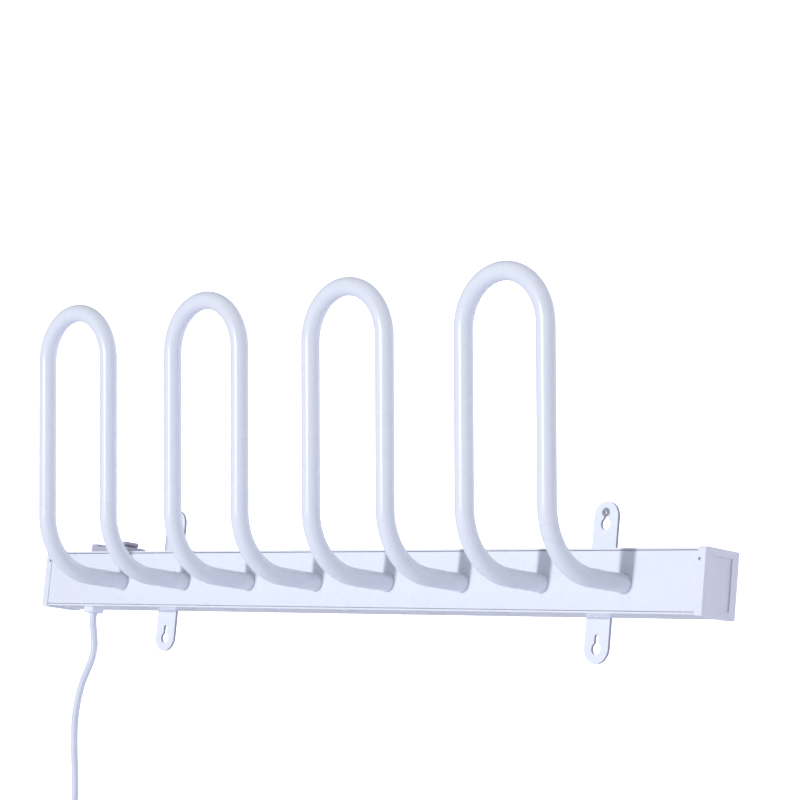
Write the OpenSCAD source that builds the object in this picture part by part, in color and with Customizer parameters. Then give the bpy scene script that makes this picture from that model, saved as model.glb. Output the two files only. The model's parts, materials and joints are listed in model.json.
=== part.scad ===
// Wall-mounted electric boot dryer: a long sheet-steel box with four heated
// tube hoops, one boot on each, held to the wall by two keyhole straps.
//
// Frame: origin on the wall plane at the centre of the four keyholes,
// +X along the box, +Y into the wall, +Z up. The hoops stand out towards -Y.
// All lengths are millimetres.

/* [Housing] */
// Height of the sheet-steel box
box_h = 50; // [44:1:60]
// Depth of the sheet-steel box, wall side to front face
box_d = 37.5; // [36:0.5:44]
// Overall length over both end caps
box_len = 790; // [780:5:900]
// Thickness of the sheet steel
sheet_t = 1.5; // [1:0.1:1.6]

/* [Hoops] */
// Outer diameter of the hoop tube
tube_d = 15; // [14:0.5:16]
// Wall thickness of the hoop tube
tube_wall = 1; // [0.8:0.1:1.5]
// Distance between the two legs of a hoop, centre to centre
hoop_w = 85; // [76:1:92]
// Distance from one hoop to the next
hoop_pitch = 171; // [165:1:171]
// Centre of the first hoop along the box
hoop_first_x = -239; // [-241:1:-239]
// Height of the tube roots above the middle of the box
root_z = -2.5; // [-3:0.5:0]
// Distance from the front face to where run and leg would meet
hoop_reach = 86; // [80:1:110]
// Bend radius between the run and the leg
bend_r = 54; // [45:1:60]
// Forward lean of the legs from upright, degrees
hoop_lean = 7.5; // [0:0.5:12]
// Height of the tube's centre at the top of a hoop
hoop_top_z = 220; // [190:5:260]

/* [Wall straps] */
// Distance between the two straps
strap_pitch = 520; // [500:10:520]
// Width of a strap
strap_w = 25; // [22:1:30]
// Thickness of a strap
strap_t = 2.5; // [2:0.5:3]
// Vertical distance between the round parts of a strap's keyholes
keyhole_pitch = 98; // [96:1:104]
// Diameter of the round part of a keyhole
keyhole_d = 9.5; // [9:0.5:10]
// Width of the slot part of a keyhole
slot_w = 4.5; // [4.2:0.1:5]
// Rise from the round part to the end of the slot
slot_rise = 9; // [8:0.5:10]

/* [Switch] */
// Centre of the rocker along the box
rocker_x = -310.5; // [-311:0.5:-310]
// Tilt of the rocker at rest, degrees
rocker_tilt = 9; // [6:0.5:9]

/* [Power cord] */
// Diameter of the power cord
cord_d = 6.5; // [6:0.1:6.8]
// Mean radius of the tied coil
coil_r = 37; // [34:1:38]

/* [Hidden] */
$fn = 48;
white = "#eef2f8";
steel = "#b8bcc2";
brass = "#c8a850";
copper = "#c07848";
slip = 0.1;              // clearance of a loose fit, each side

// Box: faces and lengths
back_y = -strap_t;                       // wall side of the box
front_y = back_y - box_d;                // front face
inner_back_y = back_y - sheet_t;         // inside face of the back
inner_front_y = front_y + sheet_t;       // inside face of the front panel
half_h = box_h / 2;
inner_h = half_h - sheet_t;
cap_plate = 4;                           // end plate of a cap
body_len = box_len - 2 * cap_plate;      // length of the folded sheet parts
return_depth = 6;                        // fold of the front panel behind its face
return_t = 1.3;
panel_gap = 0.3;                         // open crease between panel and lips
panel_h = inner_h - panel_gap;
collar_t = 1;                            // cap collar outside the box
collar_len = 3.5;
spigot_len = 12;                         // cap spigot inside the box
spigot_t = 1.6;
cap_screw_x = box_len / 2 - 5.6;
cap_screw_z = 16.5;

// Hoops
hoop_xs = [for (i = [0:3]) hoop_first_x + i * hoop_pitch];
root_xs = [for (x = hoop_xs) for (s = [-1, 1]) x + s * hoop_w / 2];
bend_angle = 90 - hoop_lean;
corner_y = front_y - hoop_reach;
run_end_y = corner_y + bend_r * tan(bend_angle / 2);
leg_start = bend_r * tan(bend_angle / 2);
leg_len = (hoop_top_z - root_z) / cos(hoop_lean) - hoop_w / 2 - leg_start;
hole_d = tube_d + 2 * slip;
bend_slim = 0.04;                        // a bend's tube is this much slimmer
bend_overlap = 0.5;                      // how far a straight stretch reaches over a bend
tube_end_y = -16;                        // open end of each tube inside the box
cable_d = 5.2;
cable_end_y = -8;

// Carrier rail inside the box
carrier_y = -20.5;                       // rear face of its web
carrier_lip = 16;
carrier_x = [root_xs[0] - 14.5, root_xs[7] + 14.5];
ring_od = 20;
ring_t = 2.5;

// Wiring
bus_r = 1.3;
bus_y = cable_end_y;
live_bus_z = 9;
neutral_bus_z = -14;
cutout_x = hoop_first_x + hoop_pitch / 2;
cutout_screw = 11;                       // cutout centre to each of its screws
blade_gap = 9.2;                         // between the cutout's two blades
terminal_x = [-372, -364, -356];
terminal_y = -10.5;
terminal_z = [-4, 12];
earth_x = -344;
earth_z = 2;

// Switch
switch_y = -23;
pivot_z = half_h + 2.5;
frame_x = [-338, -288];
frame_w = 25;
frame_h = 5;
shroud_h = 7.3;
window_l = 36;
window_w = 16.4;
switch_box = [28, 19, 18];
arm_z = 13;                              // pivot height of the contact arm
arm_tilt = 6;                            // tilt of the contact arm at rest

// Cord: gland, free route, coil and plug
gland_x = -338;
gland_y = -24.5;
gland_z = -30;
coil_y = -21.25;
coil_c = [gland_x + 44, coil_y, -256];
coil_step = cord_d + 0.1;
plug_top_z = -284;
plug_c = [-341, coil_y, plug_top_z];
pin_gap = 19;                            // between the plug's two pins
pin_d = 4.7;
pin_root = 40;
cord_route = [[-338, -24.5, -30], [-338, -24.5, -34.5], [-336.6, -24.5, -42], [-334.2, -24.5, -50],
    [-332.2, -24.5, -59], [-332.6, -24.5, -68], [-336, -24.5, -78], [-342, -24.5, -90], [-346, -24.5, -102],
    [-348.5, -24.5, -116], [-349, -24.5, -130], [-347.5, -24.5, -144], [-345, -24.5, -158],
    [-341.5, -24.5, -174], [-338.5, -24.5, -190], [-337, -24.5, -206], [-337, -24.5, -222],
    [-337.6, -24.5, -238], [-337.6, -24.5, -256]];
tail_route = [[-344.2, -18, -256], [-344, -18.4, -262], [-342.8, -19.6, -269],
    [-341.4, -20.9, -276], [-341, -21.25, -281], [-341, -21.25, -283.8]];

// ---------- helpers ----------

function unit(v) = v / norm(v);

// Smooth curve through the points p, n steps to each stretch
function smooth(p, n) = concat(
    [for (i = [0:len(p) - 2])
        let (a = p[max(i - 1, 0)], b = p[i], c = p[i + 1], d = p[min(i + 2, len(p) - 1)])
        for (k = [0:n - 1])
            let (t = k / n)
            0.5 * (2 * b + (c - a) * t + (2 * a - 5 * b + 4 * c - d) * t * t
                + (3 * b - a - 3 * c + d) * t * t * t)],
    [p[len(p) - 1]]);

function tangent(p, i) = unit(p[min(i + 1, len(p) - 1)] - p[max(i - 1, 0)]);

// Round tube swept along the points p; ref is never along the route
module swept_tube(p, r, sides = 8, ref = [0, 1, 0]) {
    n = len(p);
    rings = [for (i = [0:n - 1])
        let (t = tangent(p, i), s = unit(cross(ref, t)), u = cross(t, s))
        for (k = [0:sides - 1])
            p[i] + r * (cos(360 * k / sides) * s + sin(360 * k / sides) * u)];
    walls = [for (i = [0:n - 2]) for (k = [0:sides - 1])
        let (a = i * sides + k, b = i * sides + (k + 1) % sides)
        for (f = [[a, b + sides, b], [a, a + sides, b + sides]]) f];
    start = [for (k = [0:sides - 1]) k];
    finish = [for (k = [sides - 1:-1:0]) (n - 1) * sides + k];
    polyhedron(rings, concat(walls, [start], [finish]));
}

module at_roots() {
    for (x = root_xs) translate([x, 0, root_z]) children();
}

module mirror_copy(axis) {
    children();
    mirror(axis) children();
}

// Cylinder along Y between two values of y
module y_cylinder(y0, y1, d) {
    translate([0, max(y0, y1), 0]) rotate([90, 0, 0]) cylinder(d = d, h = abs(y1 - y0));
}

// Profile drawn as [y, z] and extruded along X, centred
module along_x(length) {
    rotate([90, 0, 90]) translate([0, 0, -length / 2]) linear_extrude(length) children();
}

// Rectangle from one corner to the other, with round corners
module round_rect(low, high, r) {
    translate([low[0] + r, low[1]]) square([high[0] - low[0] - 2 * r, high[1] - low[1]]);
    translate([low[0], low[1] + r]) square([high[0] - low[0], high[1] - low[1] - 2 * r]);
    for (x = [low[0] + r, high[0] - r]) for (y = [low[1] + r, high[1] - r])
        translate([x, y]) circle(r);
}

// ---------- housing ----------

module channel_profile() {
    difference() {
        round_rect([front_y - 3, -half_h], [back_y, half_h], 2);
        round_rect([front_y - 6, -inner_h], [inner_back_y, inner_h], 0.6);
        translate([front_y - 7, -half_h - 1]) square([7, box_h + 2]);
    }
}

module housing_channel() {
    color(white) difference() {
        along_x(body_len) channel_profile();
        translate([gland_x, gland_y, -half_h - 1]) cylinder(d = 12.4, h = sheet_t + 2);
        translate([rocker_x, switch_y, half_h])
            cube([switch_box[0] + 0.4, switch_box[1] + 0.4, 6], center = true);
        for (sx = [-1, 1]) for (sz = [-1, 1])
            translate([sx * strap_pitch / 2, 0, sz * 14]) y_cylinder(0, inner_back_y - 1, 4.1);
        translate([earth_x, 0, earth_z]) y_cylinder(0, inner_back_y - 1, 4.1);
    }
}

module panel_profile() {
    bend = 1.2;                          // outside radius of the fold
    difference() {
        round_rect([front_y, -panel_h], [front_y + return_depth + bend, panel_h], bend);
        round_rect([inner_front_y, -panel_h + return_t],
            [front_y + return_depth + 3 * bend, panel_h - return_t], 0.3);
        translate([front_y + return_depth, -half_h]) square([return_depth, box_h]);
    }
}

module front_panel() {
    color(white) difference() {
        along_x(body_len) panel_profile();
        at_roots() y_cylinder(front_y - 1, inner_front_y + 1, hole_d);
        mirror_copy([1, 0, 0]) translate([cap_screw_x, 0, cap_screw_z])
            y_cylinder(front_y - 1, inner_front_y + 1, 2.6);
    }
}

// Right-hand cap; the left one is its mirror image
module end_cap() {
    x_plate = box_len / 2 - cap_plate;
    low = [front_y - collar_t, -half_h - collar_t];
    high = [back_y + collar_t, half_h + collar_t];
    color(white) difference() {
        union() {
            translate([x_plate - collar_len, 0, 0]) rotate([90, 0, 90])
                linear_extrude(collar_len + cap_plate) round_rect(low, high, 2);
            translate([x_plate - spigot_len, 0, 0]) rotate([90, 0, 90])
                linear_extrude(spigot_len + 1) spigot_profile();
            translate([cap_screw_x - 3, inner_front_y + 1, cap_screw_z - 3.5]) cube([6, 8, 7]);
        }
        // pocket that takes the folded sheet between collar and spigot
        translate([x_plate - collar_len - 1, 0, 0]) rotate([90, 0, 90])
            linear_extrude(collar_len + 1) difference() {
                round_rect([front_y - 3, -half_h - slip / 2],
                    [back_y + slip / 2, half_h + slip / 2], 2);
                translate([front_y - 4, -half_h - 1]) square([4 - slip / 2, box_h + 2]);
                spigot_profile();
                translate([inner_front_y + 1, cap_screw_z - 3.5]) square([8, 7]);
            }
        // sunk field in the end plate
        translate([box_len / 2 - 1, -32, -20]) cube([3, 23, 40]);
        translate([cap_screw_x, 0, cap_screw_z]) {
            y_cylinder(front_y - 3, inner_front_y + 0.5, 2.6);
            y_cylinder(front_y, inner_front_y + 8, 2.3);
        }
    }
}

module spigot_profile() {
    low = [inner_front_y + 0.2, -panel_h + return_t + 0.2];
    high = [inner_back_y - 0.2, panel_h - return_t - 0.2];
    difference() {
        round_rect(low, high, 1);
        round_rect(low + [spigot_t, spigot_t], high - [spigot_t, spigot_t], 0.5);
    }
}

module cap_screws() {
    color(steel) mirror_copy([1, 0, 0]) translate([cap_screw_x, 0, cap_screw_z])
        y_cylinder(front_y - 0.7, inner_front_y + 7.5, 2.2);
}

// ---------- carrier rail and tube fixing ----------

module tube_carrier() {
    z_out = panel_h - return_t;
    color(steel) difference() {
        // U-shaped rail, open to the front, its flanges inside the panel's folds
        translate([(carrier_x[0] + carrier_x[1]) / 2, 0, 0])
            along_x(carrier_x[1] - carrier_x[0]) difference() {
                translate([carrier_y - carrier_lip, -z_out]) square([carrier_lip, 2 * z_out]);
                translate([carrier_y - carrier_lip - 1, sheet_t - z_out])
                    square([carrier_lip + 1 - sheet_t, 2 * (z_out - sheet_t)]);
            }
        at_roots() y_cylinder(carrier_y - sheet_t - 1, carrier_y + 1, hole_d);
        for (s = [-1, 1]) translate([cutout_x + s * cutout_screw, 0, root_z])
            y_cylinder(carrier_y - sheet_t - 1, carrier_y + 1, 2.6);
    }
}

module tube_lock_rings() {
    color(steel) at_roots() for (y = [carrier_y - sheet_t - ring_t, carrier_y])
        difference() {
            y_cylinder(y, y + ring_t, ring_od);
            y_cylinder(y - 1, y + ring_t + 1, hole_d);
        }
}

// ---------- hoops ----------

module ring_section(d, bore) {
    difference() {
        circle(d = d);
        if (bore > 0) circle(d = bore);
    }
}

// Run, bend and leg on one side of a hoop. Bends are a touch slimmer than the
// straight stretches, which reach a little way over them.
module hoop_side(s, start_y, d, bore) {
    translate([s * hoop_w / 2, 0, 0]) {
        translate([0, start_y, root_z]) rotate([90, 0, 0])
            linear_extrude(start_y - run_end_y + bend_overlap) ring_section(d, bore);
        translate([0, run_end_y, root_z + bend_r]) rotate([0, 90, 180])
            rotate_extrude(angle = bend_angle) translate([bend_r, 0])
                ring_section(d - bend_slim, bore - bend_slim);
        reach = leg_start - bend_overlap;
        translate([0, corner_y - reach * sin(hoop_lean), root_z + reach * cos(hoop_lean)])
            rotate([hoop_lean, 0, 0])
                linear_extrude(leg_len + 2 * bend_overlap) ring_section(d, bore);
    }
}

module hoop_arch(d, bore) {
    reach = leg_start + leg_len;
    translate([0, corner_y - reach * sin(hoop_lean), root_z + reach * cos(hoop_lean)])
        rotate([90 + hoop_lean, 0, 0]) rotate_extrude(angle = 180)
            translate([hoop_w / 2, 0]) ring_section(d - bend_slim, bore - bend_slim);
}

module hoop_path(i, start_y, d, bore) {
    translate([hoop_xs[i], 0, 0]) {
        for (s = [-1, 1]) hoop_side(s, start_y, d, bore);
        hoop_arch(d, bore);
    }
}

module hoop(i) {
    color(white) hoop_path(i, tube_end_y, tube_d, tube_d - 2 * tube_wall);
}

module heating_cable(i) {
    color("#8a4a3c") hoop_path(i, cable_end_y, cable_d, 0);
}

module cable_bushings() {
    color("#d8d0c0") at_roots() difference() {
        union() {
            y_cylinder(tube_end_y, tube_end_y + 1.5, 15);
            y_cylinder(tube_end_y - 8, tube_end_y, tube_d - 2 * tube_wall - 0.2);
        }
        y_cylinder(tube_end_y - 9, tube_end_y + 3, cable_d + 0.2);
    }
}

// ---------- wiring ----------

// Crimp over one heating-cable end, with its link up or down to a bus bar
module crimp_link(x, bus_z) {
    translate([x, 0, root_z]) {
        difference() {
            y_cylinder(cable_end_y - 3, cable_end_y + 3, 7);
            y_cylinder(cable_end_y - 4, cable_end_y, cable_d + 0.1);
        }
        link = abs(bus_z - root_z) - 3;
        translate([0, bus_y + 1.4, bus_z > root_z ? 3 : -3 - link]) cylinder(r = 0.9, h = link);
    }
}

module bus(xs, x0, x1, bus_z) {
    translate([x0, bus_y, bus_z]) rotate([0, 90, 0]) cylinder(r = bus_r, h = x1 - x0);
    for (x = xs) crimp_link(x, bus_z);
}

module heater_live_bus() {
    color("#7a4a30") {
        bus([for (x = hoop_xs) x - hoop_w / 2], root_xs[0] - 2, root_xs[6] + 2, live_bus_z);
        // link down to the cutout's second blade
        translate([cutout_x + blade_gap / 2, bus_y, root_z + 0.4])
            cylinder(r = 0.9, h = live_bus_z - root_z - 0.4);
    }
}

module heater_neutral_bus() {
    color("#3a62a8") bus([for (x = hoop_xs) x + hoop_w / 2],
        root_xs[0] - 10, root_xs[7] + 2, neutral_bus_z);
}

module neutral_feed_wire() {
    color("#3a62a8") swept_tube(smooth([[-364, -10.5, 10], [-364, -10.5, 12.6], [-363, -11, 16],
        [-358.5, -12, 18.5], [-350, -12, 18], [-341, -11, 12], [-334, -9.5, 4], [-326, -8.5, -5],
        [-313, -8, -12.5], [-299, -8, -14], [root_xs[0] - 10.2, bus_y, neutral_bus_z]], 3), bus_r);
}

module live_feed_wire() {
    color("#7a4a30") swept_tube(smooth([[-356, -10.5, 10], [-356, -10.5, 11.6], [-356, -10.5, 13.2],
        [-355.4, -12.6, 15.2], [-351.5, -16, 16.5], [-345, -20, 14], [-337, -22.5, 5],
        [-331, -23, -5], [-325, -23, -9.5], [-320.5, -23, -8], [-320, -23, -3.2]], 3), bus_r);
}

module switched_live_wire() {
    color("#7a4a30") swept_tube(smooth([[-310.5, -23, -3.2], [-310, -22, -8], [-305, -17, -13.5],
        [-297, -12, -17], [-286, -9.5, -18.5], [-262, -8, -18.5], [-216, -8, -18.5],
        [-178, -9, -18.5], [-171, -11.5, -17.5], [-167, -12, -13], [-166, -11, -7],
        [-164.5, -9.8, -3.5], [-160.7, -9.5, -2.5]], 3), bus_r);
}

module earth_wire() {
    color("#5a9048") swept_tube(smooth([[-372, -10.5, 10], [-372, -10.5, 12.4], [-371, -9.2, 16],
        [-367, -6.8, 19.2], [-358, -5.8, 20], [-350, -5.8, 16], [-345.5, -5.8, 11],
        [-344, -5.8, 5.8]], 3), bus_r);
}

module earth_screw() {
    color(brass) translate([earth_x, 0, earth_z]) {
        y_cylinder(-1, inner_back_y - 1, 3.9);
        y_cylinder(inner_back_y, inner_back_y - 1.2, 7.4);
        y_cylinder(inner_back_y - 1.2, inner_back_y - 4, 6);
    }
}

// Sheathed end of the power cord inside the gland, and its three cores
module supply_cores() {
    color("#6a6e78") {
        translate([gland_x, gland_y, gland_z]) cylinder(d = cord_d, h = 19);
        for (k = [0:2]) swept_tube(smooth([[gland_x - 1.5 + 1.5 * k, gland_y, gland_z + 18.5],
            [gland_x - 3 + 1.5 * k, gland_y + 1.5, -8.5],
            [(gland_x + terminal_x[k]) / 2, -16 - 2 * k, -7 - 2.5 * k],
            [terminal_x[k] + 1.5, -11.5, -8 - k],
            [terminal_x[k], terminal_y, terminal_z[0]],
            [terminal_x[k], terminal_y, terminal_z[0] + 2]], 3), 1);
    }
}

module terminal_block() {
    color("#e8e4d8") difference() {
        translate([-376.5, inner_back_y - 13, terminal_z[0]])
            cube([25, 13, terminal_z[1] - terminal_z[0]]);
        for (x = terminal_x) {
            for (z = [terminal_z[0] + 4, terminal_z[1] - 4])
                translate([x, 0, z]) y_cylinder(-14, -20, 4.2);
            translate([x, terminal_y, terminal_z[0] - 1]) cylinder(d = 2.8, h = 18);
        }
        for (x = [-368, -360])
            translate([x - 0.6, -20, terminal_z[0] - 1]) cube([1.2, 5, 20]);
    }
}

module terminal_screws() {
    color(brass) for (x = terminal_x) for (z = [terminal_z[0] + 4, terminal_z[1] - 4])
        translate([x, 0, z]) difference() {
            y_cylinder(-14, -16, 3.9);
            translate([0, -16, 0]) cube([5, 1.4, 0.8], center = true);
        }
}

module thermal_cutout() {
    color("#54504c") translate([cutout_x, 0, root_z]) {
        difference() {
            union() {
                y_cylinder(carrier_y, carrier_y + 1, 16.5);
                translate([-14, carrier_y, -4]) cube([28, 1, 8]);
            }
            for (s = [-1, 1]) translate([s * cutout_screw, 0, 0])
                y_cylinder(carrier_y - 1, carrier_y + 2, 2.6);
        }
        y_cylinder(carrier_y + 0.5, carrier_y + 8, 15.6);
    }
    color(steel) for (s = [-1, 1])
        translate([cutout_x + s * blade_gap / 2, carrier_y + 11, root_z])
        cube([4.8, 6.4, 0.8], center = true);
}

module cutout_screws() {
    color(steel) for (s = [-1, 1]) translate([cutout_x + s * cutout_screw, 0, root_z]) {
        y_cylinder(carrier_y - 4, carrier_y + 1.5, 2.4);
        y_cylinder(carrier_y + 1, carrier_y + 2.6, 4.6);
    }
}

// ---------- switch ----------

module switch_frame() {
    x_mid = (frame_x[0] + frame_x[1]) / 2;
    color("#b9bac8") difference() {
        union() {
            translate([0, 0, half_h]) linear_extrude(frame_h)
                round_rect([frame_x[0], switch_y - frame_w / 2],
                    [frame_x[1], switch_y + frame_w / 2], 2);
            // raised guard at the left of the rocker
            translate([0, 0, half_h + frame_h - 1]) linear_extrude(shroud_h - frame_h + 1)
                round_rect([frame_x[0], switch_y - frame_w / 2],
                    [rocker_x - window_l / 2 - 0.5, switch_y + frame_w / 2], 2);
        }
        translate([rocker_x - window_l / 2, switch_y - window_w / 2, half_h - 1])
            cube([window_l, window_w, frame_h + 2]);
        // blind bearings for the rocker's trunnions
        translate([rocker_x, 0, pivot_z])
            y_cylinder(switch_y - window_w / 2 - 2, switch_y + window_w / 2 + 2, 3.1);
    }
}

module switch_body() {
    wall = 1.5;
    color("#2c2c30") translate([rocker_x, switch_y, half_h - switch_box[2]]) difference() {
        translate([-switch_box[0] / 2, -switch_box[1] / 2, 0]) cube(switch_box);
        translate([-switch_box[0] / 2 + wall, -switch_box[1] / 2 + wall, wall])
            cube(switch_box - [2 * wall, 2 * wall, 0]);
        for (x = [-9.5, 0]) translate([x - 0.5, -3.3, -1]) cube([1, 6.6, 4]);
    }
}

module rocker_pose() {
    translate([rocker_x, switch_y, pivot_z]) rotate([0, -rocker_tilt, 0]) children();
}

module switch_rocker() {
    half = 14.6;
    low = 1.4;
    thick = 4.2;
    width = window_w - 0.6;
    color("#8f8c9c") rocker_pose() {
        difference() {
            union() {
                rotate([90, 0, 0]) translate([0, 0, -width / 2]) linear_extrude(width) difference() {
                    union() {
                        translate([-half, low]) square([2 * half, thick]);
                        for (s = [-1, 1]) translate([s * half, low + thick / 2])
                            circle(d = thick);
                    }
                    translate([0, low + thick + 78.9]) circle(r = 80, $fn = 96);
                }
                translate([-3.2, -5, -4.5]) cube([6.4, 10, low + 5]);
                y_cylinder(-window_w / 2 - 1.6, window_w / 2 + 1.6, 3);
            }
            translate([0, 0, -5]) cylinder(d = 3.3, h = 7);
        }
    }
}

module rocker_plunger() {
    color(steel) rocker_pose() {
        translate([0, 0, -12.8]) cylinder(d = 3, h = 9.8);
        translate([0, 0, -13.8]) cylinder(d1 = 1.6, d2 = 3, h = 1);
    }
}

module plunger_spring() {
    turns = 5;
    color(steel) rocker_pose() swept_tube([for (k = [0:12 * turns])
        [1.15 * cos(30 * k), 1.15 * sin(30 * k), -2.7 + 4.4 * k / (12 * turns)]],
        0.25, 6, [0, 0, 1]);
}

module switch_contact_arm() {
    color(copper) translate([rocker_x, switch_y, arm_z]) rotate([0, arm_tilt, 0]) {
        cube([23, 6, 0.8], center = true);
        y_cylinder(-4, 4, 1.2);
        translate([-9.5, 0, -1.2]) cylinder(d = 3, h = 1);
    }
}

module switch_terminals() {
    color(brass) translate([rocker_x, switch_y, 0]) {
        translate([-0.4, -3.15, -3]) cube([0.8, 6.3, 15.2]);
        translate([-9.9, -3.15, -3]) cube([0.8, 6.3, 12.6]);
        translate([-9.5, 0, 9.4]) cylinder(d = 3, h = 0.8);
    }
}

// ---------- cord entry ----------

module cord_gland() {
    color(white) translate([gland_x, gland_y, 0]) difference() {
        union() {
            intersection() {
                translate([0, 0, gland_z]) rotate([0, 0, 15]) cylinder(d = 19.6, h = 5, $fn = 6);
                translate([0, 0, gland_z]) cylinder(d1 = 15.5, d2 = 25.5, h = 5);
            }
            translate([0, 0, gland_z + 4]) cylinder(d = 12, h = 12);
        }
        translate([0, 0, gland_z - 1]) cylinder(d = cord_d + 0.2, h = 20);
        translate([0, 0, gland_z + 2]) cylinder(d = 9.3, h = 15);
    }
}

module gland_seal() {
    color("#50525a") translate([gland_x, gland_y, gland_z + 2.2]) difference() {
        cylinder(d = 9.1, h = 8);
        translate([0, 0, -1]) cylinder(d = cord_d + 0.1, h = 10);
    }
}

module gland_nut() {
    color(white) translate([gland_x, gland_y, -inner_h]) difference() {
        cylinder(d = 18, h = 4, $fn = 6);
        translate([0, 0, -1]) cylinder(d = 12.1, h = 6);
    }
}

// ---------- cord, coil and plug ----------

module power_cord() {
    color(white) swept_tube(cord_route, cord_d / 2, 10);
}

module cord_tail() {
    color(white) swept_tube(tail_route, cord_d / 2, 10);
}

// Tied coil, three strands wide and two deep, as one ring. The strand that comes
// down from the box is part of power_cord and lies in a pocket left for it.
module cord_coil() {
    half_r = coil_step + cord_d / 2;
    half_w = (coil_step + cord_d) / 2;
    pocket = [8, 8, 26];
    pocket_corner = [coil_c[0] - coil_r - half_r - 1, coil_c[1] + 0.05 - pocket[1], coil_c[2]];
    color(white) difference() {
        translate(coil_c) rotate([90, 0, 0])
            rotate_extrude() round_rect([coil_r - half_r, -half_w], [coil_r + half_r, half_w], 3);
        translate(pocket_corner) cube(pocket);
    }
}

module cord_tie() {
    half_r = coil_step + cord_d / 2;
    half_w = (coil_step + cord_d) / 2;
    far = -coil_r - half_r - coil_step;  // outside of the outgoing strand
    color("#3c3e46") translate(coil_c) translate([0, 0, -6]) linear_extrude(12) difference() {
        round_rect([far - 1.6, -half_w - 1.4], [-coil_r + half_r + 2.2, half_w + 1.4], 3);
        round_rect([far - 0.4, -half_w - 0.2], [-coil_r + half_r + 1, half_w + 0.2], 2.4);
    }
}

// Grounded round mains plug hanging with its pins down
module plug_body() {
    color(white) translate(plug_c) rotate([180, 0, 0]) difference() {
        rotate_extrude() polygon([[0, 0], [5, 0], [7, 9], [10, 12], [17, 16], [18.5, 20],
            [18.5, 45], [17.5, 46], [0, 46]]);
        for (s = [-1, 1]) translate([s * pin_gap / 2, 0, pin_root]) cylinder(d = 4.8, h = 10);
        for (s = [-1, 1]) translate([-4.2, s > 0 ? 15.7 : -19, 24]) cube([8.4, 3.3, 23]);
    }
}

module plug_pins() {
    color(steel) translate(plug_c) rotate([180, 0, 0]) for (s = [-1, 1])
        translate([s * pin_gap / 2, 0, pin_root]) {
            cylinder(d = pin_d, h = 23);
            translate([0, 0, 23]) cylinder(d1 = pin_d, d2 = 3, h = 1.5);
        }
}

module plug_earth_clips() {
    color(steel) translate(plug_c) rotate([180, 0, 0]) for (s = [-1, 1])
        translate([-4, s > 0 ? 15.8 : -17.2, 24.2]) cube([8, 1.4, 21.6]);
}

// ---------- wall straps and fasteners ----------

module keyhole_cut(z) {
    translate([0, 0, z]) {
        y_cylinder(-strap_t - 1, 1, keyhole_d);
        translate([0, 0, slot_rise]) y_cylinder(-strap_t - 1, 1, slot_w);
        translate([-slot_w / 2, -strap_t - 1, 0]) cube([slot_w, strap_t + 2, slot_rise]);
    }
}

module strap(x) {
    top_z = keyhole_pitch / 2 + 5.5;
    low_z = -keyhole_pitch / 2 + 0.5;
    color(white) translate([x, 0, 0]) difference() {
        union() {
            translate([-strap_w / 2, -strap_t, low_z]) cube([strap_w, strap_t, top_z - low_z]);
            for (z = [low_z, top_z]) translate([0, 0, z]) y_cylinder(-strap_t, 0, strap_w);
        }
        for (s = [-1, 1]) keyhole_cut(s * keyhole_pitch / 2);
        for (s = [-1, 1]) translate([0, 0, s * 14]) {
            y_cylinder(-strap_t - 1, 1, 4.1);
            y_cylinder(-1.2, 1, 7.2);
        }
    }
}

module strap_rivets() {
    color(steel) for (sx = [-1, 1]) for (sz = [-1, 1])
        translate([sx * strap_pitch / 2, 0, sz * 14]) {
            y_cylinder(-0.1, -1.1, 7);
            y_cylinder(-1, inner_back_y - 1, 4);
            y_cylinder(inner_back_y, inner_back_y - 1.6, 7);
        }
}

// Screw seated at the end of the upper right keyhole's slot, as far as the wall plane
module wall_screw() {
    color(steel) translate([strap_pitch / 2, 0, keyhole_pitch / 2 + slot_rise]) difference() {
        union() {
            y_cylinder(-strap_t, -strap_t - 1, 7.4);
            translate([0, -strap_t - 1, 0]) rotate([90, 0, 0]) cylinder(d1 = 7.4, d2 = 4.6, h = 1.6);
            y_cylinder(-strap_t - 0.5, 0, 3.8);
        }
        for (a = [0, 90]) translate([0, -strap_t - 2.6, 0]) rotate([0, a, 0])
            cube([3.4, 2.4, 0.8], center = true);
    }
}

housing_channel();
front_panel();
mirror([1, 0, 0]) end_cap();  // end_cap_left
end_cap();  // end_cap_right
cap_screws();
tube_carrier();
tube_lock_rings();
hoop(0);  // hoop_1
hoop(1);  // hoop_2
hoop(2);  // hoop_3
hoop(3);  // hoop_4
heating_cable(0);  // heating_cable_1
heating_cable(1);  // heating_cable_2
heating_cable(2);  // heating_cable_3
heating_cable(3);  // heating_cable_4
cable_bushings();
heater_live_bus();
heater_neutral_bus();
neutral_feed_wire();
switched_live_wire();
live_feed_wire();
earth_wire();
earth_screw();
supply_cores();
terminal_block();
terminal_screws();
thermal_cutout();
cutout_screws();
switch_frame();
switch_body();
switch_rocker();
rocker_plunger();
plunger_spring();
switch_contact_arm();
switch_terminals();
cord_gland();
gland_seal();
gland_nut();
power_cord();
cord_coil();
cord_tail();
cord_tie();
plug_body();
plug_pins();
plug_earth_clips();
strap(-strap_pitch / 2);  // strap_left
strap(strap_pitch / 2);  // strap_right
strap_rivets();
wall_screw();
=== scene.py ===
"""Looks for the wall-mounted boot dryer: camera, light, materials, cord and detailed pieces."""

import json
import math

import bmesh
import bpy
from mathutils import Matrix, Vector

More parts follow.
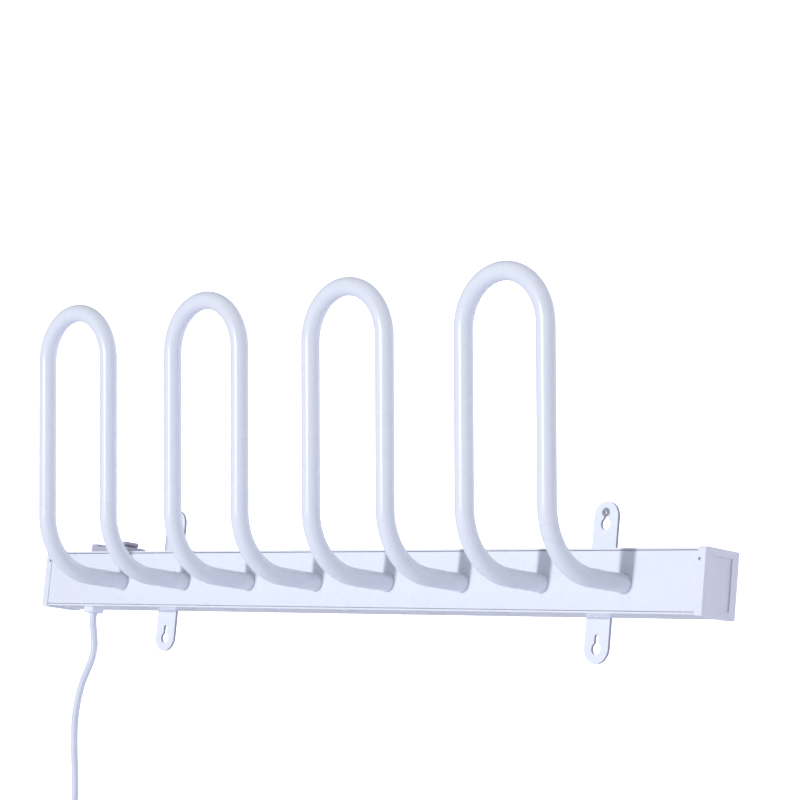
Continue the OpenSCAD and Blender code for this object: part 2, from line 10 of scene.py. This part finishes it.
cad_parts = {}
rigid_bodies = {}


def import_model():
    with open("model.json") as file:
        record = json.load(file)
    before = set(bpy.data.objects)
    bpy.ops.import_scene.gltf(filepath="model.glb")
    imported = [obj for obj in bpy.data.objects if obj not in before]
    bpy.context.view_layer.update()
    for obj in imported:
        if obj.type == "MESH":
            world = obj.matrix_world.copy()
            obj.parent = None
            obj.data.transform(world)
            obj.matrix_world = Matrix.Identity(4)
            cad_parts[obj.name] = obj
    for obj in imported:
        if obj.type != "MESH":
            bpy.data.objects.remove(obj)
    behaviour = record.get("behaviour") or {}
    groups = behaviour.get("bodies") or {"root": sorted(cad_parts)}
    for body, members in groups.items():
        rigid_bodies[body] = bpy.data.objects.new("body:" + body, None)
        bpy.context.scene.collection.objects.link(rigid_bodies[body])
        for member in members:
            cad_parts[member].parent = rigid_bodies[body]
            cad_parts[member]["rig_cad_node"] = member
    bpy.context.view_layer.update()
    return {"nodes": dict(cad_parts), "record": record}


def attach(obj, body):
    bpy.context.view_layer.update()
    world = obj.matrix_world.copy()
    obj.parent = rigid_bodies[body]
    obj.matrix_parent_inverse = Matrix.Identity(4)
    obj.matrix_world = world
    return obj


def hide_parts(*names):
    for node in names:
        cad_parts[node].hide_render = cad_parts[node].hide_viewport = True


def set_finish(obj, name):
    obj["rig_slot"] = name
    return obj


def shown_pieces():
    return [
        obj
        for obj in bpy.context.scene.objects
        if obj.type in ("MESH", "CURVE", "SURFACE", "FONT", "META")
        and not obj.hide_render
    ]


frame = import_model()
nodes = frame["nodes"]
MM = 0.001
scene = bpy.context.scene


# ---------- camera ----------

CAMERA_PLACE = Vector((1.7669, -1.6979, -0.1980))
CAMERA_YAW = 0.8011
CAMERA_PITCH = 0.1449
CAMERA_ROLL = 0.0894
LENS_MM = 130.755
SENSOR_MM = 36.0
SEES_TO = 30


def make_camera():
    """A long lens from the lower right, a little rolled."""
    flat = math.cos(CAMERA_PITCH)
    forward = Vector((-math.sin(CAMERA_YAW) * flat, math.cos(CAMERA_YAW) * flat,
                      math.sin(CAMERA_PITCH)))
    level = Vector((math.cos(CAMERA_YAW), math.sin(CAMERA_YAW), 0))
    upright = level.cross(forward)
    right = math.cos(CAMERA_ROLL) * level + math.sin(CAMERA_ROLL) * upright
    up = right.cross(forward)
    data = bpy.data.cameras.new("camera")
    data.lens = LENS_MM
    data.sensor_width = SENSOR_MM
    data.clip_end = SEES_TO
    camera = add_object("camera", data)
    turn = Matrix((right, up, -forward)).transposed()
    camera.matrix_world = Matrix.Translation(CAMERA_PLACE) @ turn.to_4x4()
    scene.camera = camera


# ---------- shared mesh work ----------

def add_object(name, data):
    obj = bpy.data.objects.new(name, data)
    scene.collection.objects.link(obj)
    return obj


def mesh_object(name, points, faces, smooth=True):
    """A mesh from points in metres, with its faces turned outwards."""
    mesh = bpy.data.meshes.new(name)
    mesh.from_pydata([tuple(p) for p in points], [], faces)
    shape = bmesh.new()
    shape.from_mesh(mesh)
    bmesh.ops.recalc_face_normals(shape, faces=shape.faces)
    shape.to_mesh(mesh)
    shape.free()
    for polygon in mesh.polygons:
        polygon.use_smooth = smooth
    return add_object(name, mesh)


def keep_edges(obj, degrees=35):
    """Shades smooth, with edges sharper than this kept crisp."""
    for polygon in obj.data.polygons:
        polygon.use_smooth = True
    obj.data.set_sharp_from_angle(angle=math.radians(degrees))


def sweep_tube(name, line, outer, bore=0.0, sides=48):
    """A tube along a line in mm, hollow if it has a bore. Its frame is carried without twisting."""
    count = len(line)
    tangents = [(line[min(i + 1, count - 1)] - line[max(i - 1, 0)]).normalized()
                for i in range(count)]
    radii = [outer / 2, bore / 2] if bore else [outer / 2]
    side = Vector((1, 0, 0))
    points = []
    for i, tangent in enumerate(tangents):
        if i:
            side = tangents[i - 1].rotation_difference(tangent) @ side
        side = (side - side.dot(tangent) * tangent).normalized()
        other = tangent.cross(side)
        for radius in radii:
            for k in range(sides):
                angle = 2 * math.pi * k / sides
                points.append(MM * (line[i] + radius * (math.cos(angle) * side
                                                        + math.sin(angle) * other)))
    faces = []
    ring = len(radii) * sides
    ends = (0, (count - 1) * ring)
    for k in range(sides):
        after = (k + 1) % sides
        for i in range(count - 1):
            a, b = i * ring, (i + 1) * ring
            faces.append((a + k, a + after, b + after, b + k))
            if bore:
                faces.append((a + sides + after, a + sides + k, b + sides + k, b + sides + after))
        if bore:
            faces += [(end + k, end + after, end + sides + after, end + sides + k)
                      for end in ends]
    if not bore:
        faces += [tuple(range(end, end + sides)) for end in ends]
    obj = mesh_object(name, points, faces)
    keep_edges(obj)
    return obj


def lathe(name, profile, centre, sides=64, radius_at=None):
    """A closed turned shape about Z. profile holds [radius, z] in mm, both ends on the axis."""
    inner = profile[1:-1]
    points = [Vector((0, 0, profile[0][1])), Vector((0, 0, profile[-1][1]))]
    for radius, z in inner:
        for k in range(sides):
            angle = 2 * math.pi * k / sides
            r = radius_at(radius, z, angle) if radius_at else radius
            points.append(Vector((r * math.cos(angle), r * math.sin(angle), z)))
    faces = []
    for k in range(sides):
        after = (k + 1) % sides
        faces.append((0, 2 + k, 2 + after))
        last = 2 + (len(inner) - 1) * sides
        faces.append((1, last + after, last + k))
        for ring in range(len(inner) - 1):
            low = 2 + ring * sides
            faces.append((low + k, low + after, low + sides + after, low + sides + k))
    obj = mesh_object(name, [MM * p + Vector(centre) for p in points], faces)
    keep_edges(obj)
    return obj


# ---------- power cord ----------

CORD_D = 6.5
CORD_SIDES = 16
ROUTE_STEPS = 3
COIL_STEP = 6.6
COIL_R = 37.0
COIL_CENTRE = Vector((-294, -21.25, -256))
COIL_TURNS = 6
TURN_STEPS = 40
SHIFT_FROM = 0.6
CROSSING_DIP = 2.6
CORD_ROUTE = [
    (-338, -24.5, -30), (-338, -24.5, -34.5), (-336.6, -24.5, -42), (-334.2, -24.5, -50),
    (-332.2, -24.5, -59), (-332.6, -24.5, -68), (-336, -24.5, -78), (-342, -24.5, -90),
    (-346, -24.5, -102), (-348.5, -24.5, -116), (-349, -24.5, -130), (-347.5, -24.5, -144),
    (-345, -24.5, -158), (-341.5, -24.5, -174), (-338.5, -24.5, -190), (-337, -24.5, -206),
    (-337, -24.5, -222), (-337.6, -24.5, -238)]
PLUG_TOP = Vector((-341, -21.25, -284))
PLUG_LENGTH = 46
GRIP_R = 18.5
RIB_COUNT = 5
RIB_FROM = -1.6
RIB_STEP = 1.9
RIB_R = 5.0
RIB_RISE = 0.6
RIB_GROWTH = 0.3
FLUTE_COUNT = 18
FLUTE_DEPTH = 0.45
FLUTE_LOW = -41
FLUTE_HIGH = -18
TAIL_ROUTE = [(-344, -18.4, -262), (-342.8, -19.6, -269), (-341.4, -20.9, -276),
              (-341, -21.25, -281), (-341, -21.25, -283.8)]


def smooth_route(route):
    """A smooth curve through every point of a route."""
    knots = [Vector(point) for point in route]
    last = len(knots) - 1
    out = []
    for i in range(last):
        a, b, c, d = knots[max(i - 1, 0)], knots[i], knots[i + 1], knots[min(i + 2, last)]
        for k in range(ROUTE_STEPS):
            t = k / ROUTE_STEPS
            out.append(0.5 * (2 * b + (c - a) * t + (2 * a - 5 * b + 4 * c - d) * t * t
                              + (3 * b - a - 3 * c + d) * t ** 3))
    return out + [knots[-1]]


def coil_point(turns):
    """Centre of the cord after this many turns: in over the front layer, out over the back one."""
    whole = min(int(turns), COIL_TURNS - 1)
    part = turns - whole
    shift = max(0.0, (part - SHIFT_FROM) / (1 - SHIFT_FROM))
    shift = shift * shift * (3 - 2 * shift)
    half = COIL_TURNS // 2
    outer = COIL_R + COIL_STEP
    inner = COIL_R - COIL_STEP
    depth = 0.0
    if whole < half - 1:
        radius = outer - COIL_STEP * (whole + shift)
    elif whole == half - 1:
        radius = inner - CROSSING_DIP * 4 * shift * (1 - shift)
        depth = shift
    else:
        radius = inner + COIL_STEP * (whole - half + shift)
        depth = 1.0
    angle = math.pi + 2 * math.pi * part
    return COIL_CENTRE + Vector((radius * math.cos(angle), COIL_STEP * (depth - 0.5),
                                 radius * math.sin(angle)))


def make_cord():
    """One cord from the gland, round its tied coil and down to the plug."""
    coil = [coil_point(k / TURN_STEPS) for k in range(COIL_TURNS * TURN_STEPS + 1)]
    down = smooth_route(CORD_ROUTE + [coil[0]])
    tail = smooth_route([coil[-1]] + TAIL_ROUTE)
    line = down + coil[1:] + tail[1:]
    cord = sweep_tube("mains_cord", line, CORD_D, sides=CORD_SIDES)
    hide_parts("power_cord", "cord_coil", "cord_tail")
    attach(cord, "base")
    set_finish(cord, "cord_white")
    return cord, [tuple(MM * p) for p in line]


def make_plug():
    """Round plug body, with ribs on its strain relief and flutes round its grip."""
    ribs = []
    for k in range(RIB_COUNT):
        z = RIB_FROM - RIB_STEP * k
        root = RIB_R + RIB_GROWTH * k
        ribs += [[root, z], [root + RIB_RISE, z - 0.4], [root + RIB_RISE, z - 1.1],
                 [root, z - 1.5]]
    profile = [[0, 0], [4.4, 0], [5, -0.6]] + ribs
    profile += [[7.4, -11.2], [9.6, -12.4], [13.5, -14], [16.6, -16.2], [18, -19]]
    profile += [[GRIP_R, z] for z in (-22, -28, -34, -40, -44.6)]
    profile += [[18.1, -45.6], [17.2, -PLUG_LENGTH], [0, -PLUG_LENGTH]]

    def fluted(radius, z, angle):
        if FLUTE_LOW < z < FLUTE_HIGH:
            return radius - FLUTE_DEPTH * max(0.0, math.cos(FLUTE_COUNT * angle)) ** 2
        return radius

    plug = lathe("plug_shell", profile, MM * PLUG_TOP, 6 * FLUTE_COUNT, fluted)
    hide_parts("plug_body")
    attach(plug, "base")
    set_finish(plug, "plug_white")
    return plug


# ---------- hoops ----------

FACE_Y = -40.0
TUBE_D = 15.0
TUBE_BORE = 13.0
HOOP_W = 85.0
BEND_R = 54.0
HOOP_REACH = 86.0
LEAN = math.radians(7.5)
ROOT_Z = -2.5
TOP_Z = 220.0
TUBE_END_Y = -16.0
HOOP_COUNT = 4
FIRST_HOOP_X = -239.0
HOOP_PITCH = 171.0
HOOP_XS = [FIRST_HOOP_X + HOOP_PITCH * i for i in range(HOOP_COUNT)]
BEND_STEPS = 20
ARCH_STEPS = 48


def hoop_line(x):
    """Centreline of one hoop: in from the left root, over the arch and back."""
    corner = FACE_Y - HOOP_REACH
    bend = math.pi / 2 - LEAN
    run_end = corner + BEND_R * math.tan(bend / 2)
    rise = Vector((0, -math.sin(LEAN), math.cos(LEAN)))
    foot = Vector((0, corner, ROOT_Z))
    length = (TOP_Z - ROOT_Z) / math.cos(LEAN) - HOOP_W / 2
    half = [Vector((0, TUBE_END_Y, ROOT_Z))]
    half += [Vector((0, run_end - BEND_R * math.sin(bend * k / BEND_STEPS),
                     ROOT_Z + BEND_R * (1 - math.cos(bend * k / BEND_STEPS))))
             for k in range(BEND_STEPS + 1)]
    half.append(foot + rise * length)
    left = [p + Vector((x - HOOP_W / 2, 0, 0)) for p in half]
    arch = [foot + rise * (length + HOOP_W / 2 * math.sin(math.pi * k / ARCH_STEPS))
            + Vector((x - HOOP_W / 2 * math.cos(math.pi * k / ARCH_STEPS), 0, 0))
            for k in range(1, ARCH_STEPS)]
    right = [p + Vector((x + HOOP_W / 2, 0, 0)) for p in reversed(half)]
    return left + arch + right


def make_hoops():
    for i, x in enumerate(HOOP_XS, 1):
        hoop = sweep_tube(f"hoop_tube_{i}", hoop_line(x), TUBE_D, TUBE_BORE)
        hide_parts(f"hoop_{i}")
        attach(hoop, "base")
        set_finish(hoop, "powder_white")


# ---------- materials ----------

MIDDLE_FROM = 0.3
MIDDLE_TO = 0.7


def material(name):
    """(material, its node tree, its Principled shader, object coordinates)"""
    mat = bpy.data.materials.new(name)
    mat.use_nodes = True
    tree = mat.node_tree
    shader = tree.nodes["Principled BSDF"]
    place = tree.nodes.new("ShaderNodeTexCoord").outputs["Object"]
    return mat, tree, shader, place


def noise(tree, place, scale, detail=3.0, stretch=None):
    """Noise in object space; scale is in features per metre."""
    if stretch:
        mapping = tree.nodes.new("ShaderNodeMapping")
        mapping.inputs["Scale"].default_value = stretch
        tree.links.new(place, mapping.inputs["Vector"])
        place = mapping.outputs["Vector"]
    node = tree.nodes.new("ShaderNodeTexNoise")
    node.inputs["Scale"].default_value = scale
    node.inputs["Detail"].default_value = detail
    tree.links.new(place, node.inputs["Vector"])
    return node.outputs["Fac"]


def spread(tree, factor, low, high):
    """Maps the middle of a factor's range smoothly to low to high."""
    node = tree.nodes.new("ShaderNodeMapRange")
    node.interpolation_type = "SMOOTHSTEP"
    node.inputs["From Min"].default_value = MIDDLE_FROM
    node.inputs["From Max"].default_value = MIDDLE_TO
    node.inputs["To Min"].default_value = low
    node.inputs["To Max"].default_value = high
    tree.links.new(factor, node.inputs["Value"])
    return node.outputs["Result"]


def tint(tree, factor, colour, change):
    """Base colour that drifts a little darker and back with the noise."""
    ramp = tree.nodes.new("ShaderNodeValToRGB")
    ramp.color_ramp.interpolation = "EASE"
    ramp.color_ramp.elements[0].position = MIDDLE_FROM
    ramp.color_ramp.elements[1].position = MIDDLE_TO
    ramp.color_ramp.elements[0].color = (*[c * (1 - change) for c in colour], 1)
    ramp.color_ramp.elements[1].color = (*colour, 1)
    tree.links.new(factor, ramp.inputs["Fac"])
    return ramp.outputs["Color"]


def bump(tree, height, strength, distance):
    node = tree.nodes.new("ShaderNodeBump")
    node.inputs["Strength"].default_value = strength
    node.inputs["Distance"].default_value = distance
    tree.links.new(height, node.inputs["Height"])
    return node.outputs["Normal"]


def face_with_edge_shade(tree, paint, edge):
    """Keeps the paint on the faces along Y of a plate and paints shade onto its thin edges, by their
    facing alone.
    """
    parts = tree.nodes.new("ShaderNodeSeparateXYZ")
    tree.links.new(tree.nodes.new("ShaderNodeTexCoord").outputs["Normal"], parts.inputs["Vector"])
    size = tree.nodes.new("ShaderNodeMath")
    size.operation = "ABSOLUTE"
    tree.links.new(parts.outputs["Y"], size.inputs[0])
    # Painted shade: the edge colour goes wherever the surface turns away from Y, whatever light falls
    # there.
    mix = tree.nodes.new("ShaderNodeMix")
    mix.data_type = "RGBA"
    mix.inputs["A"].default_value = (*edge, 1)
    tree.links.new(spread(tree, size.outputs["Value"], 0.0, 1.0), mix.inputs["Factor"])
    tree.links.new(paint, mix.inputs["B"])
    return mix.outputs["Result"]


def painted(name, colour, rough=0.28, edge_shade=None):
    """Gloss powder coat with a very fine orange peel; the optional edge colour is painted shade on a
    plate's thin edges.
    """
    mat, tree, shader, place = material(name)
    paint = tint(tree, noise(tree, place, 5, detail=1.0), colour, change=0.004)
    # Painted shade on the plate's thin edges, not a colour of the steel.
    if edge_shade:
        paint = face_with_edge_shade(tree, paint, edge_shade)
    tree.links.new(paint, shader.inputs["Base Color"])
    uneven = noise(tree, place, 30, detail=1.0)
    tree.links.new(spread(tree, uneven, rough - 0.015, rough + 0.02), shader.inputs["Roughness"])
    peel = noise(tree, place, 900, detail=1.0)
    tree.links.new(bump(tree, peel, strength=0.05, distance=0.0001), shader.inputs["Normal"])
    shader.inputs["Coat Weight"].default_value = 0.25
    shader.inputs["Coat Roughness"].default_value = 0.12
    return mat


def plastic(name, colour, rough=0.4, grain=1500, depth=0.15, change=0.05):
    """Moulded plastic: fine spark-eroded grain and a slight cloudiness."""
    mat, tree, shader, place = material(name)
    tree.links.new(tint(tree, noise(tree, place, 45), colour, change), shader.inputs["Base Color"])
    tree.links.new(spread(tree, noise(tree, place, 300), rough - 0.05, rough + 0.06),
                   shader.inputs["Roughness"])
    pits = noise(tree, place, grain, detail=4.0)
    tree.links.new(bump(tree, pits, strength=depth, distance=0.00015), shader.inputs["Normal"])
    return mat


def metal(name, colour, rough=0.32, stretch=(1, 1, 8)):
    """Plated or drawn metal with faint brushing and cloudy plating."""
    mat, tree, shader, place = material(name)
    shader.inputs["Metallic"].default_value = 1.0
    clouds = noise(tree, place, 220)
    tree.links.new(tint(tree, clouds, colour, change=0.14), shader.inputs["Base Color"])
    brushed = noise(tree, place, 500, detail=5.0, stretch=stretch)
    tree.links.new(spread(tree, brushed, rough - 0.08, rough + 0.12), shader.inputs["Roughness"])
    tree.links.new(bump(tree, brushed, strength=0.12, distance=0.0001), shader.inputs["Normal"])
    return mat


def galvanised(name, colour):
    """Hot-dip zinc with its crystal spangle."""
    mat, tree, shader, place = material(name)
    cells = tree.nodes.new("ShaderNodeTexVoronoi")
    cells.inputs["Scale"].default_value = 160
    tree.links.new(place, cells.inputs["Vector"])
    shader.inputs["Metallic"].default_value = 1.0
    tree.links.new(tint(tree, cells.outputs["Color"], colour, change=0.3),
                   shader.inputs["Base Color"])
    tree.links.new(spread(tree, noise(tree, place, 240), 0.35, 0.5), shader.inputs["Roughness"])
    return mat


def flexible(name, colour, rough=0.45):
    """Extruded sheath or rubber, slightly uneven along its length."""
    mat, tree, shader, place = material(name)
    tree.links.new(tint(tree, noise(tree, place, 35), colour, change=0.04),
                   shader.inputs["Base Color"])
    drawn = noise(tree, place, 420, stretch=(1, 1, 0.15))
    tree.links.new(spread(tree, drawn, rough - 0.05, rough + 0.08), shader.inputs["Roughness"])
    tree.links.new(bump(tree, drawn, strength=0.15, distance=0.0002), shader.inputs["Normal"])
    return mat


WHITE = (0.80, 0.84, 0.92)
# Painted shade for the straps' thin edges and keyhole walls, not a colour the plate has.
EDGE_SHADE = (0.34, 0.35, 0.42)
STRAPS = ("strap_left", "strap_right")


def make_materials():
    """One material for each slot in the record, and a second white for the straps, with painted shade
    on their edges.
    """
    return {
        "powder_white": painted("powder_white", WHITE),
        "strap_paint_shaded_edges": painted("strap_paint_shaded_edges", WHITE, rough=0.3, edge_shade=EDGE_SHADE),
        "cap_white": plastic("cap_white", (0.80, 0.83, 0.92), rough=0.33, grain=900, depth=0.05,
                             change=0.01),
        "zinc_steel": metal("zinc_steel", (0.62, 0.63, 0.66)),
        "galvanised_steel": galvanised("galvanised_steel", (0.55, 0.57, 0.6)),
        "heater_sheath": flexible("heater_sheath", (0.24, 0.08, 0.05), rough=0.55),
        "insulator_cream": plastic("insulator_cream", (0.68, 0.63, 0.5), rough=0.55),
        "wire_brown": flexible("wire_brown", (0.12, 0.045, 0.02)),
        "wire_blue": flexible("wire_blue", (0.03, 0.1, 0.38)),
        "wire_green": flexible("wire_green", (0.1, 0.32, 0.05)),
        "core_grey": flexible("core_grey", (0.13, 0.14, 0.17)),
        "terminal_brass": metal("terminal_brass", (0.72, 0.52, 0.2), rough=0.28),
        "cutout_phenolic": plastic("cutout_phenolic", (0.035, 0.03, 0.027), rough=0.5),
        "switch_grey": plastic("switch_grey", (0.50, 0.50, 0.60), rough=0.34, grain=1200, depth=0.12),
        "rocker_grey": plastic("rocker_grey", (0.46, 0.44, 0.53), rough=0.3, grain=1200, depth=0.05,
                               change=0.03),
        "switch_black": plastic("switch_black", (0.012, 0.012, 0.014), rough=0.5),
        "contact_copper": metal("contact_copper", (0.8, 0.4, 0.22), rough=0.25),
        "seal_rubber": flexible("seal_rubber", (0.05, 0.05, 0.06), rough=0.7),
        "cord_white": flexible("cord_white", (0.69, 0.75, 0.84), rough=0.42),
        "tie_black": plastic("tie_black", (0.02, 0.02, 0.025), rough=0.5),
        "plug_white": plastic("plug_white", (0.76, 0.80, 0.88), rough=0.36)}


def paint_everything(materials):
    """Gives each CAD node and added piece the material of its slot, and the straps their own white
    with painted edge shade.
    """
    for part in frame["record"]["subparts"]:
        name = part["node"]
        look = "strap_paint_shaded_edges" if name in STRAPS else part["material_slot"]
        nodes[name].data.materials.clear()
        nodes[name].data.materials.append(materials[look])
    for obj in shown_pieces():
        if obj.get("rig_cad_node"):
            continue
        obj.data.materials.clear()
        obj.data.materials.append(materials[obj["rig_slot"]])


# ---------- edges of the CAD pieces ----------

BEVELS_MM = {
    "housing_channel": 0.25, "end_cap_left": 0.6, "end_cap_right": 0.6,
    "strap_left": 0.4, "strap_right": 0.4, "switch_frame": 0.5, "switch_rocker": 0.45,
    "cord_gland": 0.5, "wall_screw": 0.15, "cord_tie": 0.3, "plug_pins": 0.2,
    "cap_screws": 0.15}
BEVEL_STEPS = 3
BEVEL_FROM_DEGREES = 40
FLAT_WITHIN_DEGREES = 0.5
WELD_WITHIN = 1e-6


def soften_edges():
    """Welds each CAD mesh. Those with a bevel also get flat faces joined and edges rounded."""
    for name, obj in nodes.items():
        weld = obj.modifiers.new("weld", "WELD")
        weld.merge_threshold = WELD_WITHIN
        if name in BEVELS_MM:
            flat = obj.modifiers.new("flat", "DECIMATE")
            flat.decimate_type = "DISSOLVE"
            flat.angle_limit = math.radians(FLAT_WITHIN_DEGREES)
            edge = obj.modifiers.new("edge", "BEVEL")
            edge.width = BEVELS_MM[name] * MM
            edge.segments = BEVEL_STEPS
            edge.limit_method = "ANGLE"
            edge.angle_limit = math.radians(BEVEL_FROM_DEGREES)
            edge.harden_normals = True
            edge.use_clamp_overlap = True


# ---------- stage and light ----------

STAGE_HALF = 6
FLOOR_Z = -0.75
BACKDROP_Y = 2.5
BACKDROP_TOP = 5
STAGE_COLOUR = (0.84, 0.84, 0.93)
FLOOR_GLOW = 0.05
BACKDROP_GLOW = 0.85


def stage_material(name, glow):
    mat, tree, shader, place = material(name)
    tree.links.new(tint(tree, noise(tree, place, 2), STAGE_COLOUR, change=0.02),
                   shader.inputs["Base Color"])
    shader.inputs["Roughness"].default_value = 0.9
    shader.inputs["Emission Color"].default_value = (1, 1, 1, 1)
    shader.inputs["Emission Strength"].default_value = glow
    return mat


def make_stage():
    """Pale floor and backdrop, plain and well clear. Gloss does not mirror the backdrop's glow."""
    half = STAGE_HALF
    floor = mesh_object("floor", [(-half, -half, FLOOR_Z), (half, -half, FLOOR_Z),
                                  (half, half, FLOOR_Z), (-half, half, FLOOR_Z)],
                        [(0, 1, 2, 3)], False)
    back = mesh_object("backdrop", [(-half, BACKDROP_Y, FLOOR_Z), (half, BACKDROP_Y, FLOOR_Z),
                                    (half, BACKDROP_Y, BACKDROP_TOP),
                                    (-half, BACKDROP_Y, BACKDROP_TOP)],
                       [(0, 1, 2, 3)], False)
    floor.data.materials.append(stage_material("stage_floor", FLOOR_GLOW))
    back.data.materials.append(stage_material("stage_backdrop", BACKDROP_GLOW))
    back.visible_glossy = False


def area_light(name, place, target, size, power):
    data = bpy.data.lights.new(name, "AREA")
    data.shape = "RECTANGLE"
    data.size, data.size_y = size
    data.energy = power
    light = add_object(name, data)
    aim = Vector(target) - Vector(place)
    light.matrix_world = (Matrix.Translation(place)
                          @ aim.to_track_quat("-Z", "Y").to_matrix().to_4x4())


def sun_light(name, shines, strength, spread_degrees):
    data = bpy.data.lights.new(name, "SUN")
    data.energy = strength
    data.angle = math.radians(spread_degrees)
    sun = add_object(name, data)
    sun.matrix_world = Vector(shines).to_track_quat("-Z", "Y").to_matrix().to_4x4()


SKY_COLOUR = (0.86, 0.89, 1.0)
SKY_STRENGTH = 0.335
KEY_STRENGTH = 1.86
KEY_SPREAD = 3.5
KEY_SHINES = (0.026, 1.0, -0.01)
AREA_LIGHTS = [
    {"name": "top", "place": (0.2, -1.2, 2.6), "target": (0, -0.05, 0.05),
     "size": (2.2, 1.4), "power": 5},
    {"name": "right", "place": (2.4, -1.4, 0.5), "target": (0.3, -0.05, 0.05),
     "size": (1.2, 1.6), "power": 1.2}]


def make_lights():
    """A nearly frontal key that throws the hoops' crisp shadows, and soft fills."""
    world = bpy.data.worlds.new("world")
    world.use_nodes = True
    sky = world.node_tree.nodes["Background"]
    sky.inputs["Color"].default_value = (*SKY_COLOUR, 1)
    sky.inputs["Strength"].default_value = SKY_STRENGTH
    scene.world = world
    sun_light("key", KEY_SHINES, KEY_STRENGTH, KEY_SPREAD)
    for light in AREA_LIGHTS:
        area_light(**light)


scene.view_settings.view_transform = "Standard"
make_camera()
cord, cord_line = make_cord()
plug = make_plug()
make_hoops()
soften_edges()
paint_everything(make_materials())
make_stage()
make_lights()
